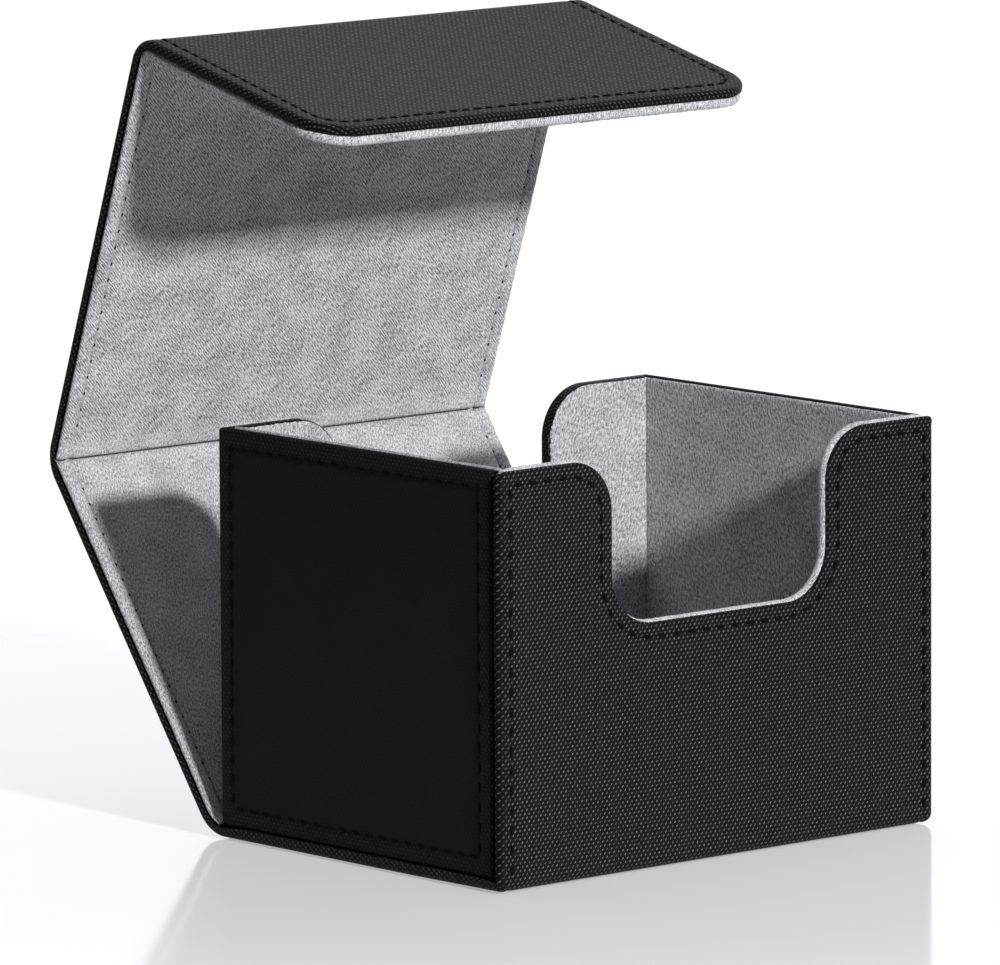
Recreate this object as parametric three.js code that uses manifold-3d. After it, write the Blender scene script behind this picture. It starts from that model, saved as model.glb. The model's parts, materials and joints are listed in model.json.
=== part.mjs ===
// Card deck box: an open tray with a wrap-around cover. Millimetres, +Z up, -Y front.
// The origin is the middle of the tray's underside. The cover stands open: its back panel
// leans back, its top panel leans forward over it and its front flap hangs to the front.
import * as THREE from 'three';
import { mergeVertices } from 'three/addons/utils/BufferGeometryUtils.js';
import Module from 'manifold-3d';

const wasm = await Module();
wasm.setup();

// ---- driving dimensions ----
const WIDTH = 141;            // across the tray and the cover
const DEPTH = 104;            // tray, front face to back face
const LEATHER_TOP = 100.5;    // height of the tray's leather edge
const LINING_PROUD = 0.5;     // the lining's edge stands this much above the leather's

const LEATHER = 0.7;
const BOARD = 1.3;
const LINING = 1.2;
const FLOOR_BOARD = 1.5;
const GLUE = 0.2;             // film of glue between two layers
const SLIP = 0.3;             // clearance between layers of the leaning panels

const CUT_HALF_WIDTH = 34.3;  // U cut-outs of the front and back walls
const CUT_BOTTOM = 60.2;
const CUT_SHOULDER_RADIUS = 13;
const CUT_FOOT_RADIUS = 12.4;

const WRAP_CORNER_RADIUS = 2.5;   // where it turns from the front wall to the base
const WRAP_EDGE_RADIUS = 2;       // its upright edges, seen from above
const GROOVE = 1.8;           // between the front wall and each side panel
const SIDE_INSET = 0.6;       // side panels sit this far inside the wrap's ends
const SIDE_BOTTOM = 2.9;

const HINGE_Y = DEPTH / 2 + 3.8;
const PANEL_OUT = 1.25;       // from the fold line to the cover's outer face
const PANEL_IN = 3.15;        // from the fold line to the cover's lined face
const TURNED_TO = 1.0;        // how far in the turned leather edge and the board reach,
const BOARD_TO = 0.95;        // and where the padded lining starts
const PAD_FROM = 1.25;
const BACK_LENGTH = 103.8;    // fold line to fold line
const TOP_LENGTH = 113.3;
const FLAP_LENGTH = 72.5;
const FLAP_CORNER_RADIUS = 12;
const REAR_MARGIN = 5;        // each fold's soft part, either side of its line
const CREASE_MARGIN = 4.5;
const LID_MARGIN = 5.5;
const BACK_LEAN = THREE.MathUtils.degToRad(54.2);    // from the table
const CREASE_TURN = THREE.MathUtils.degToRad(54.6);
const LID_TURN = THREE.MathUtils.degToRad(85.4);

const MAGNET_RADIUS = 6;
const MAGNET_X = 48;
const MAGNET_HEIGHT = 44;     // above the table, in the front wall
const ROUND_STEPS = 10;       // facets of a quarter turn
const DISC_STEPS = 24;

// ---- derived dimensions ----
const HALF_WIDTH = WIDTH / 2;
const FRONT = -DEPTH / 2;
const BACK = DEPTH / 2;
const LINING_TOP = LEATHER_TOP + LINING_PROUD;
const SHELL = LEATHER + GLUE + BOARD;          // leather, glue and board
const WALL = SHELL + GLUE + LINING;
const EDGE = LEATHER + GLUE;                   // a turned edge and its glue
const SIDE_FACE = HALF_WIDTH - SIDE_INSET;
const WALL_BOTTOM = SHELL + GLUE;
const FLOOR_BOARD_TOP = WALL_BOTTOM + FLOOR_BOARD;
const FLOOR_LINING_BOTTOM = FLOOR_BOARD_TOP + GLUE;
const CLEAR = 5;                               // how far a cutter runs past what it cuts

const COLOURS = { leather: 0x1b1b1d, lining: 0xb9b9bb, board: 0x8c8273, steel: 0xa8a8ac };
const ROUGHNESS = { leather: 0.55, lining: 0.95, board: 0.9, steel: 0.35 };

const deckBox = new THREE.Group();

// ---- helpers ----
function addPiece(group, name, kind, geometry) {
  const material = new THREE.MeshStandardMaterial({
    color: COLOURS[kind],
    roughness: ROUGHNESS[kind],
    metalness: kind === 'steel' ? 1 : 0,
  });
  const mesh = new THREE.Mesh(geometry, material);
  mesh.name = name;
  group.add(mesh);
}

function toSolid(geometry) {
  const bare = geometry.clone();
  bare.deleteAttribute('normal');
  bare.deleteAttribute('uv');
  const merged = mergeVertices(bare, 1e-4);
  const vertProperties = new Float32Array(merged.attributes.position.array);
  const triVerts = new Uint32Array(merged.index.array);
  return new wasm.Manifold(new wasm.Mesh({ numProp: 3, vertProperties, triVerts }));
}

function toGeometry(solid) {
  const mesh = solid.getMesh();
  const geometry = new THREE.BufferGeometry();
  geometry.setAttribute('position', new THREE.BufferAttribute(mesh.vertProperties, 3));
  geometry.setIndex(new THREE.BufferAttribute(mesh.triVerts, 1));
  geometry.computeVertexNormals();
  return geometry;
}

function box(x, y, z) {
  const geometry = new THREE.BoxGeometry(x[1] - x[0], y[1] - y[0], z[1] - z[0]);
  return geometry.translate((x[0] + x[1]) / 2, (y[0] + y[1]) / 2, (z[0] + z[1]) / 2);
}

function extrude(shape, depth) {
  return new THREE.ExtrudeGeometry(shape, { depth, bevelEnabled: false, curveSegments: ROUND_STEPS });
}

const X = new THREE.Vector3(1, 0, 0);
const Y = new THREE.Vector3(0, 1, 0);
const Z = new THREE.Vector3(0, 0, 1);

// A shape drawn in x and z, standing upright between two depths.
function upright(shape, y) {
  const geometry = extrude(shape, y[1] - y[0]);
  geometry.applyMatrix4(new THREE.Matrix4().makeBasis(X, Z, Y.clone().negate()));
  return geometry.translate(0, y[1], 0);
}

// A shape drawn in y and z, run across the box from x[0] to x[1].
function across(shape, x) {
  const geometry = extrude(shape, x[1] - x[0]);
  geometry.applyMatrix4(new THREE.Matrix4().makeBasis(Y, Z, X));
  return geometry.translate(x[0], 0, 0);
}

// A shape drawn in x and y, between two heights.
function flat(shape, z) {
  return extrude(shape, z[1] - z[0]).translate(0, 0, z[0]);
}

// Wall outline with the U cut-out. The inset moves its top and its cut-out into the wall.
function cutWallShape(halfWidth, bottom, top, inset) {
  const half = CUT_HALF_WIDTH + inset;
  const low = CUT_BOTTOM - inset;
  const high = top - inset;
  const shoulder = CUT_SHOULDER_RADIUS - inset;
  const foot = CUT_FOOT_RADIUS + inset;
  const shape = new THREE.Shape();
  shape.moveTo(-halfWidth, bottom);
  shape.lineTo(halfWidth, bottom);
  shape.lineTo(halfWidth, high);
  shape.lineTo(half + shoulder, high);
  shape.absarc(half + shoulder, high - shoulder, shoulder, Math.PI / 2, Math.PI, false);
  shape.lineTo(half, low + foot);
  shape.absarc(half - foot, low + foot, foot, 0, -Math.PI / 2, true);
  shape.lineTo(foot - half, low);
  shape.absarc(foot - half, low + foot, foot, -Math.PI / 2, -Math.PI, true);
  shape.lineTo(-half, high - shoulder);
  shape.absarc(-half - shoulder, high - shoulder, shoulder, 0, Math.PI / 2, false);
  shape.lineTo(-halfWidth, high);
  shape.closePath();
  return shape;
}

// A sheet with a turned edge along its top and its cut-out, open at its sides and bottom.
function turnedWall(halfWidth, bottom, top, full, hollow, edge) {
  const blank = toSolid(upright(cutWallShape(halfWidth, bottom, top, 0), full));
  const core = toSolid(upright(cutWallShape(halfWidth + CLEAR, bottom - CLEAR, top, edge), hollow));
  return blank.subtract(core);
}

function magnetAcrossWall(x, y) {
  const radius = MAGNET_RADIUS;
  const disc = new THREE.CylinderGeometry(radius, radius, y[1] - y[0], DISC_STEPS);
  return disc.translate(x, (y[0] + y[1]) / 2, MAGNET_HEIGHT);
}

// ---- the tray ----
// One sheet of leather runs down the front wall and under the base. Its section in y and z
// is the strip between the outer face, set back by `from`, and a line further in by `reach`.
function wrapSection(from, reach, overrun) {
  const radius = WRAP_CORNER_RADIUS;
  const rear = HINGE_Y - REAR_MARGIN + overrun;
  const top = LINING_TOP + overrun;
  const shape = new THREE.Shape();
  shape.moveTo(rear, from);
  shape.lineTo(rear, reach);
  shape.lineTo(FRONT + reach, reach);
  shape.lineTo(FRONT + reach, top);
  shape.lineTo(FRONT + from, top);
  shape.lineTo(FRONT + from, radius);
  shape.absarc(FRONT + radius, radius, radius - from, Math.PI, Math.PI * 1.5, false);
  shape.closePath();
  return shape;
}

function roundedPlan() {
  const radius = WRAP_EDGE_RADIUS;
  const shape = new THREE.Shape();
  shape.moveTo(-HALF_WIDTH, BACK + CLEAR * 2);
  shape.lineTo(-HALF_WIDTH, FRONT + radius);
  shape.absarc(-HALF_WIDTH + radius, FRONT + radius, radius, Math.PI, Math.PI * 1.5, false);
  shape.lineTo(HALF_WIDTH - radius, FRONT);
  shape.absarc(HALF_WIDTH - radius, FRONT + radius, radius, -Math.PI / 2, 0, false);
  shape.lineTo(HALF_WIDTH, BACK + CLEAR * 2);
  shape.closePath();
  return shape;
}

function addWrap(group) {
  const blank = toSolid(across(wrapSection(0, SHELL, 0), [-HALF_WIDTH, HALF_WIDTH]));
  const pocketX = [LEATHER - HALF_WIDTH, HALF_WIDTH - LEATHER];
  const pocket = toSolid(across(wrapSection(LEATHER, SHELL + CLEAR, CLEAR), pocketX));
  const outline = cutWallShape(HALF_WIDTH + CLEAR, -CLEAR, LINING_TOP, LINING_PROUD);
  const kept = toSolid(upright(outline, [FRONT - CLEAR, BACK + 2 * CLEAR]));
  const plan = toSolid(flat(roundedPlan(), [-CLEAR, LINING_TOP + CLEAR]));
  const leather = blank.subtract(pocket).intersect(kept).intersect(plan);
  addPiece(group, 'tray_wrap_leather', 'leather', toGeometry(leather));

  const board = box(
    [EDGE - HALF_WIDTH, HALF_WIDTH - EDGE],
    [FRONT + SHELL, HINGE_Y - REAR_MARGIN - SLIP],
    [EDGE, SHELL],
  );
  addPiece(group, 'base_board', 'board', board);
}

function addFrontWall(group) {
  const boardDepth = [FRONT + EDGE, FRONT + SHELL];
  const boardHalf = HALF_WIDTH - EDGE;
  const liningHalf = SIDE_FACE - SHELL - GLUE;
  const liningEdge = LEATHER + GLUE;
  const outline = cutWallShape(boardHalf, WALL_BOTTOM, LINING_TOP, liningEdge + GLUE);
  let board = toSolid(upright(outline, boardDepth));
  for (const [side, name] of [[-1, 'left'], [1, 'right']]) {
    const hole = new THREE.CylinderGeometry(
      MAGNET_RADIUS + SLIP, MAGNET_RADIUS + SLIP, CLEAR * 2, DISC_STEPS);
    hole.translate(side * MAGNET_X, FRONT, MAGNET_HEIGHT);
    board = board.subtract(toSolid(hole));
    addPiece(group, `front_magnet_${name}`, 'steel', magnetAcrossWall(side * MAGNET_X, boardDepth));
  }
  addPiece(group, 'front_board', 'board', toGeometry(board));

  const full = [FRONT + EDGE, FRONT + WALL];
  const hollow = [FRONT - CLEAR, FRONT + SHELL + GLUE];
  const wall = turnedWall(liningHalf, FLOOR_LINING_BOTTOM, LINING_TOP, full, hollow, liningEdge);
  let lining = wall;
  for (const side of [-1, 1]) {
    const reach = [side * (liningHalf - CLEAR), side * boardHalf].sort((a, b) => a - b);
    const cap = box(reach, [FRONT + EDGE, FRONT + SHELL], [LINING_TOP - liningEdge, LINING_TOP]);
    lining = lining.add(toSolid(cap));
  }
  addPiece(group, 'front_lining', 'lining', toGeometry(lining));
}

function addBackWall(group) {
  const half = SIDE_FACE - SHELL - GLUE;
  const full = [BACK - WALL, BACK];
  const hollow = [BACK - WALL - CLEAR, BACK - LEATHER];
  const leather = turnedWall(half, WALL_BOTTOM, LEATHER_TOP, full, hollow, LEATHER);
  addPiece(group, 'back_wall_leather', 'leather', toGeometry(leather));

  const boardShape = cutWallShape(half, WALL_BOTTOM, LEATHER_TOP, EDGE);
  addPiece(group, 'back_wall_board', 'board', upright(boardShape, [BACK - SHELL, BACK - EDGE]));

  const liningShape = cutWallShape(half, FLOOR_LINING_BOTTOM, LEATHER_TOP, EDGE);
  const liningDepth = [BACK - WALL, BACK - SHELL - GLUE];
  addPiece(group, 'back_wall_lining', 'lining', upright(liningShape, liningDepth));
}

// Each side is a stitched panel set in behind the front wall's edge; a strip of its leather
// lines the groove between them.
function addSide(group, side, name) {
  const layer = (outer, inner) => [side * outer, side * inner].sort((a, b) => a - b);
  const start = FRONT + SHELL + GROOVE;
  const inner = SIDE_FACE - SHELL;
  const panel = toSolid(box(layer(SIDE_FACE, inner), [start, BACK], [SIDE_BOTTOM, LEATHER_TOP]));
  const pocket = box(
    layer(SIDE_FACE - LEATHER, inner - CLEAR),
    [start + LEATHER, BACK - LEATHER],
    [SIDE_BOTTOM + LEATHER, LEATHER_TOP - LEATHER],
  );
  const strip = box(
    layer(inner + LEATHER, inner),
    [FRONT + SHELL + GLUE, start + LEATHER / 2],
    [SIDE_BOTTOM, LEATHER_TOP],
  );
  const leather = panel.subtract(toSolid(pocket)).add(toSolid(strip));
  addPiece(group, `${name}_side_leather`, 'leather', toGeometry(leather));

  const board = box(
    layer(SIDE_FACE - EDGE, inner),
    [start + EDGE, BACK - EDGE],
    [SIDE_BOTTOM + EDGE, LEATHER_TOP - EDGE],
  );
  addPiece(group, `${name}_side_board`, 'board', board);

  const lining = box(
    layer(inner - GLUE, inner - GLUE - LINING),
    [FRONT + WALL + GLUE, BACK - WALL - GLUE],
    [FLOOR_LINING_BOTTOM, LINING_TOP],
  );
  addPiece(group, `${name}_side_lining`, 'lining', lining);
}

function addFloor(group) {
  const boardHalf = SIDE_FACE - SHELL - 2 * GLUE;
  const boardY = [FRONT + SHELL + GLUE, BACK - SHELL - GLUE];
  const board = box([-boardHalf, boardHalf], boardY, [WALL_BOTTOM, FLOOR_BOARD_TOP]);
  addPiece(group, 'floor_board', 'board', board);

  const half = SIDE_FACE - WALL - GLUE;
  const liningY = [FRONT + WALL + GLUE, BACK - WALL - GLUE];
  const liningZ = [FLOOR_LINING_BOTTOM, FLOOR_LINING_BOTTOM + LINING];
  addPiece(group, 'floor_lining', 'lining', box([-half, half], liningY, liningZ));
}

// ---- the cover ----
// Each panel is built in a group that turns about its fold line: y runs along the panel from
// the fold, z points to the lined side. Layers from outside in: leather, board, padded lining.
const LAYERS = {
  leather: [-PANEL_OUT, LEATHER - PANEL_OUT],
  turnedEdge: [-PANEL_OUT, TURNED_TO],
  board: [LEATHER + SLIP - PANEL_OUT, BOARD_TO],
  lining: [PAD_FROM, PANEL_IN],
};
const PANEL_BOARD_INSET = LEATHER + SLIP;
const PAD_INSET = 0.4;

function addPanel(group, name, y) {
  const half = HALF_WIDTH;
  const blank = toSolid(box([-half, half], y, LAYERS.turnedEdge));
  const pocketX = [LEATHER - half, half - LEATHER];
  const pocket = box(pocketX, [y[0] - CLEAR, y[1] + CLEAR], [LAYERS.leather[1], CLEAR]);
  addPiece(group, `${name}_leather`, 'leather', toGeometry(blank.subtract(toSolid(pocket))));

  const boardHalf = half - PANEL_BOARD_INSET;
  const boardY = [y[0] + SLIP, y[1] - SLIP];
  addPiece(group, `${name}_board`, 'board', box([-boardHalf, boardHalf], boardY, LAYERS.board));

  const padHalf = half - PAD_INSET;
  addPiece(group, `${name}_lining`, 'lining', box([-padHalf, padHalf], y, LAYERS.lining));
}

// A flap outline with round outer corners, drawn in x and y.
function flapShape(inset, start) {
  const half = HALF_WIDTH - inset;
  const end = FLAP_LENGTH - inset;
  const radius = FLAP_CORNER_RADIUS - inset;
  const shape = new THREE.Shape();
  shape.moveTo(-half, start);
  shape.lineTo(half, start);
  shape.lineTo(half, end - radius);
  shape.absarc(half - radius, end - radius, radius, 0, Math.PI / 2, false);
  shape.lineTo(radius - half, end);
  shape.absarc(radius - half, end - radius, radius, Math.PI / 2, Math.PI, false);
  shape.closePath();
  return shape;
}

function addFlap(group) {
  const blank = toSolid(flat(flapShape(0, LID_MARGIN), LAYERS.turnedEdge));
  const pocket = flat(flapShape(LEATHER, LID_MARGIN - CLEAR), [LAYERS.leather[1], CLEAR]);
  addPiece(group, 'flap_leather', 'leather', toGeometry(blank.subtract(toSolid(pocket))));

  const closedTop = BACK_LENGTH + PANEL_OUT;
  const magnetY = closedTop - MAGNET_HEIGHT;
  let board = toSolid(flat(flapShape(PANEL_BOARD_INSET, LID_MARGIN + SLIP), LAYERS.board));
  for (const [side, name] of [[-1, 'left'], [1, 'right']]) {
    const thickness = LAYERS.board[1] - LAYERS.board[0];
    const hole = new THREE.CylinderGeometry(
      MAGNET_RADIUS + SLIP, MAGNET_RADIUS + SLIP, CLEAR, DISC_STEPS);
    hole.rotateX(Math.PI / 2).translate(side * MAGNET_X, magnetY, 0);
    board = board.subtract(toSolid(hole));
    const disc = new THREE.CylinderGeometry(MAGNET_RADIUS, MAGNET_RADIUS, thickness, DISC_STEPS);
    disc.rotateX(Math.PI / 2).translate(side * MAGNET_X, magnetY, LAYERS.board[0] + thickness / 2);
    addPiece(group, `flap_magnet_${name}`, 'steel', disc);
  }
  addPiece(group, 'flap_board', 'board', toGeometry(board));
  addPiece(group, 'flap_lining', 'lining', flat(flapShape(PAD_INSET, LID_MARGIN), LAYERS.lining));
}

// A soft strip round a fold, drawn in the frame of the panel before it. The fold line is at
// y = line; the strip's neutral arc leaves that panel a margin before the line.
function foldArc(line, margin, turn, layer, trim) {
  const neutral = margin / Math.tan(turn / 2);
  const outer = neutral - layer[0];
  const inner = neutral - layer[1];
  const from = -Math.PI / 2 + trim[0];
  const to = -Math.PI / 2 + turn - trim[1];
  const shape = new THREE.Shape();
  shape.absarc(line - margin, neutral, outer, from, to, false);
  shape.absarc(line - margin, neutral, inner, to, from, true);
  shape.closePath();
  return across(shape, [-HALF_WIDTH, HALF_WIDTH]);
}

const FOLD_LINING = [1.4, 2.2];                         // from the fold line inwards
const FOLD_TRIM = THREE.MathUtils.degToRad(3);          // gap to the panels at each end
const UNDER_WALL_TRIM = THREE.MathUtils.degToRad(15);   // keeps clear of the back wall's foot

function addFold(group, name, line, margin, turn, liningTrim) {
  const trim = [FOLD_TRIM, FOLD_TRIM];
  const leather = foldArc(line, margin, turn, LAYERS.leather, trim);
  addPiece(group, `${name}_leather`, 'leather', leather);
  const lining = foldArc(line, margin, turn, FOLD_LINING, [liningTrim, FOLD_TRIM]);
  addPiece(group, `${name}_lining`, 'lining', lining);
}

function addCover(group) {
  const base = new THREE.Group();
  base.position.set(0, HINGE_Y, PANEL_OUT);
  group.add(base);
  addFold(base, 'rear_fold', 0, REAR_MARGIN, BACK_LEAN, UNDER_WALL_TRIM);

  const backPanel = new THREE.Group();
  backPanel.rotation.x = BACK_LEAN;
  base.add(backPanel);
  addPanel(backPanel, 'back_panel', [REAR_MARGIN, BACK_LENGTH - CREASE_MARGIN]);
  addFold(backPanel, 'crease', BACK_LENGTH, CREASE_MARGIN, CREASE_TURN, FOLD_TRIM);

  const topPanel = new THREE.Group();
  topPanel.position.y = BACK_LENGTH;
  topPanel.rotation.x = CREASE_TURN;
  backPanel.add(topPanel);
  addPanel(topPanel, 'top_panel', [CREASE_MARGIN, TOP_LENGTH - LID_MARGIN]);
  addFold(topPanel, 'lid_fold', TOP_LENGTH, LID_MARGIN, LID_TURN, FOLD_TRIM);

  const flap = new THREE.Group();
  flap.position.y = TOP_LENGTH;
  flap.rotation.x = LID_TURN;
  topPanel.add(flap);
  addFlap(flap);
}

addWrap(deckBox);
addFrontWall(deckBox);
addBackWall(deckBox);
addSide(deckBox, -1, 'left');
addSide(deckBox, 1, 'right');
addFloor(deckBox);
addCover(deckBox);

export default deckBox;
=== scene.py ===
import json
import math

import bmesh
import bpy
import numpy as np
from mathutils import Matrix, Vector, noise


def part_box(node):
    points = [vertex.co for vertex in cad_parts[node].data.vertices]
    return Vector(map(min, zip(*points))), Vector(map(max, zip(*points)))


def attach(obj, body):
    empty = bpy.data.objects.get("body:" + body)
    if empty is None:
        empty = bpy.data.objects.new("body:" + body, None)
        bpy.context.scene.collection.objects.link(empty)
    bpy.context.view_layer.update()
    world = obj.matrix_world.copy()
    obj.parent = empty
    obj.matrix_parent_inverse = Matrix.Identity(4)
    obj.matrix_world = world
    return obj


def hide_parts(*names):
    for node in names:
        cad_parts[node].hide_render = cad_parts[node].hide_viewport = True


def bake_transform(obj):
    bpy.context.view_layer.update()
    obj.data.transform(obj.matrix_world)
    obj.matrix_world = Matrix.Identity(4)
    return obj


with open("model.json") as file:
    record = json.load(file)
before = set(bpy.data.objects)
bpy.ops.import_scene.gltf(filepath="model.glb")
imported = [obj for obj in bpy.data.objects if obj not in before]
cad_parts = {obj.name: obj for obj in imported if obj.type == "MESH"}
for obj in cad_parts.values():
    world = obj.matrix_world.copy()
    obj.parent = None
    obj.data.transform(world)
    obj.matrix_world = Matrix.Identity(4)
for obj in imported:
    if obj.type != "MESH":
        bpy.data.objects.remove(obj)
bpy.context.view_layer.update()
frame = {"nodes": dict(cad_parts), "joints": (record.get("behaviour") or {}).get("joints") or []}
NODES = frame["nodes"]
JOINTS = {j["name"]: j for j in frame["joints"]}
MM = 0.001


def node_mm(name):
    """Lowest and highest corner of a CAD node, in millimetres."""
    low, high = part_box(name)
    return np.array(low) / MM, np.array(high) / MM


# ---------------------------------------------------------------- dimensions, mm
WRAP_LOW, WRAP_HIGH = node_mm("tray_wrap_leather")
LINING_HIGH = node_mm("front_lining")[1]
SIDE_LOW, SIDE_HIGH = node_mm("left_side_leather")
HALF = WRAP_HIGH[0]
FRONT, BACK = WRAP_LOW[1], SIDE_HIGH[1]
LEATHER_TOP, LINING_TOP = WRAP_HIGH[2], LINING_HIGH[2]
SIDE_FACE = -SIDE_LOW[0]
LINING_STEP = LINING_TOP - LEATHER_TOP
CUT_HALF, CUT_BOTTOM, CUT_SHOULDER, CUT_FOOT = 34.3, 60.2, 13.0, 12.4
LEATHER, LINING, GLUE = 0.7, 1.2, 0.2
SHELL, WALL = 2.2, 3.6        # leather and board; with the lining as well
LINING_FOOT = 4.1             # where the tray's linings start, above the table
FLOOR_FACE = 5.3              # the floor lining's upper face
GROOVE = 1.8                  # between the front wall and each side panel
WRAP_CORNER = 2.5
PANEL_OUT, PANEL_IN = 1.25, 3.15      # a cover panel's two faces, from its fold line
PAD_FROM, FLAP_PAD_IN = 1.25, 3.95    # where its pad starts, and the flap's thicker pad's face

REAR, CREASE, LID = (
    np.array(JOINTS[n]["pos_m"][1:]) / MM for n in ("rear_fold", "crease_fold", "lid_fold")
)
BACK_DIR = math.atan2(*(CREASE - REAR)[::-1])
TOP_DIR = math.atan2(*(LID - CREASE)[::-1])
LID_TURN = math.radians(85.4)
FLAP_DIR = TOP_DIR + LID_TURN
BACK_LENGTH = np.linalg.norm(CREASE - REAR)
TOP_LENGTH = np.linalg.norm(LID - CREASE)
FLAP_LENGTH, FLAP_CORNER = 72.5, 12.0
REAR_MARGIN, CREASE_MARGIN, LID_MARGIN = 5.0, 4.5, 5.5
RUN_IN = 1.5          # straight part of a fold piece, so that it meets its panel level

COVER_SEAM, WALL_SEAM, SIDE_SEAM = 4.4, 3.5, 4.6      # from the edge to the stitches
BACK_SEAM = WALL_SEAM + 0.4
SEAM_DEPTH, PAD_SEAM_DEPTH = 0.27, 0.7                # how far the stitches pull the face in
STEP = 0.8            # distance between points along a rim


# ---------------------------------------------------------------- materials
class Graph:
    """A material's node tree, with short calls for the nodes used here."""

    def __init__(self, name):
        self.material = bpy.data.materials.new(name)
        self.material.use_nodes = True
        self.nodes = self.material.node_tree.nodes
        self.links = self.material.node_tree.links
        self.shader = self.nodes["Principled BSDF"]

    def _feed(self, socket, value):
        if hasattr(value, "is_output"):
            self.links.new(value, socket)
        else:
            socket.default_value = value

    def maths(self, operation, a, b=0.0, clamp=False):
        node = self.nodes.new("ShaderNodeMath")
        node.operation = operation
        node.use_clamp = clamp
        self._feed(node.inputs[0], a)
        self._feed(node.inputs[1], b)
        return node.outputs[0]

    def vector(self, operation, a, b=(0, 0, 0)):
        node = self.nodes.new("ShaderNodeVectorMath")
        node.operation = operation
        self._feed(node.inputs[0], a)
        self._feed(node.inputs[1], b)
        return node.outputs["Value" if operation == "DOT_PRODUCT" else "Vector"]

    def uv(self):
        node = self.nodes.new("ShaderNodeUVMap")
        node.uv_map = "UVMap"
        return node.outputs[0]

    def attribute(self, name):
        node = self.nodes.new("ShaderNodeAttribute")
        node.attribute_name = name
        return node.outputs["Fac"]

    def grain(self, vector, scale, detail=2.0, rough=0.5):
        node = self.nodes.new("ShaderNodeTexNoise")
        self.links.new(vector, node.inputs["Vector"])
        node.inputs["Scale"].default_value = scale
        node.inputs["Detail"].default_value = detail
        node.inputs["Roughness"].default_value = rough
        return node.outputs["Fac"]

    def spread(self, value, low, high, to_low=0.0, to_high=1.0):
        node = self.nodes.new("ShaderNodeMapRange")
        self._feed(node.inputs["Value"], value)
        limits = {"From Min": low, "From Max": high, "To Min": to_low, "To Max": to_high}
        for key, number in limits.items():
            node.inputs[key].default_value = number
        return node.outputs[0]

    def mix(self, factor, a, b):
        node = self.nodes.new("ShaderNodeMix")
        node.data_type = "RGBA"
        self._feed(node.inputs["Factor"], factor)
        self._feed(node.inputs["A"], (*a, 1) if isinstance(a, tuple) else a)
        self._feed(node.inputs["B"], (*b, 1) if isinstance(b, tuple) else b)
        return node.outputs["Result"]

    def bump(self, height, strength, distance):
        node = self.nodes.new("ShaderNodeBump")
        node.inputs["Strength"].default_value = strength
        node.inputs["Distance"].default_value = distance
        self.links.new(height, node.inputs["Height"])
        self.links.new(node.outputs[0], self.shader.inputs["Normal"])

    def finish(self, colour, roughness, **constants):
        self._feed(self.shader.inputs["Base Color"], colour)
        self._feed(self.shader.inputs["Roughness"], roughness)
        for key, value in constants.items():
            self.shader.inputs[key.replace("_", " ")].default_value = value
        return self.material


def dashes(g, uv, shift):
    """Rows of short slanted dashes, 0 between them and 1 on each one's crest; the mask for their relief
    and for the painted highlight on their crests.
    """
    pitch_u, pitch_v, half_long, half_wide = 1.45, 1.93, 0.45, 0.235
    cell = g.vector("MULTIPLY", uv, (1 / pitch_u, 1 / pitch_v, 0))
    cell = g.vector("FRACTION", g.vector("ADD", cell, (shift, shift, 0)))
    cell = g.vector("SUBTRACT", cell, (0.5, 0.5, 0))
    slant = math.sqrt(0.5)
    long_way = (pitch_u * slant / half_long, pitch_v * slant / half_long, 0)
    wide_way = (-pitch_u * slant / half_wide, pitch_v * slant / half_wide, 0)
    along = g.vector("DOT_PRODUCT", cell, long_way)
    over = g.vector("DOT_PRODUCT", cell, wide_way)
    reach = g.maths("ADD", g.maths("MULTIPLY", along, along), g.maths("MULTIPLY", over, over))
    crest_and_highlight = g.maths("SUBTRACT", 1.0, reach, clamp=True)
    return g.maths("MINIMUM", g.maths("MULTIPLY", crest_and_highlight, 1.6), 1.0)


def leather_material(name, crest_and_highlight, ground, roughness, specular):
    """Embossed leather: dashes where the mesh's emboss value is high, raised in the bump and lightened in
    colour as a painted highlight on their crests, on a darker grained ground.
    """
    g = Graph(name)
    uv = g.uv()
    emboss = g.attribute("emboss")
    crests_and_highlights = g.maths("MAXIMUM", dashes(g, uv, 0.0), dashes(g, uv, 0.5))
    uneven = g.spread(g.grain(uv, 1.1, 3.0), 0.34, 0.66, 0.3, 1.25)
    relief_and_highlight = g.maths("MULTIPLY", g.maths("MULTIPLY", crests_and_highlights, emboss), uneven)
    grain = g.grain(uv, 4.5, 3.0, 0.6)
    cloudy = g.grain(uv, 0.06, 2.0)
    base = g.mix(g.spread(cloudy, 0.3, 0.7), ground, tuple(1.35 * c for c in ground))
    # The dashes' crests are lightened towards the crest colour: a painted highlight on them.
    colour = g.mix(relief_and_highlight, base, crest_and_highlight)
    height = g.maths("ADD", relief_and_highlight, g.maths("MULTIPLY", grain, 0.35))
    g.bump(height, 1.0, 0.0006)
    rough = g.spread(grain, 0.3, 0.7, roughness - 0.06, roughness + 0.08)
    return g.finish(colour, rough, Specular_IOR_Level=specular)


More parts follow.
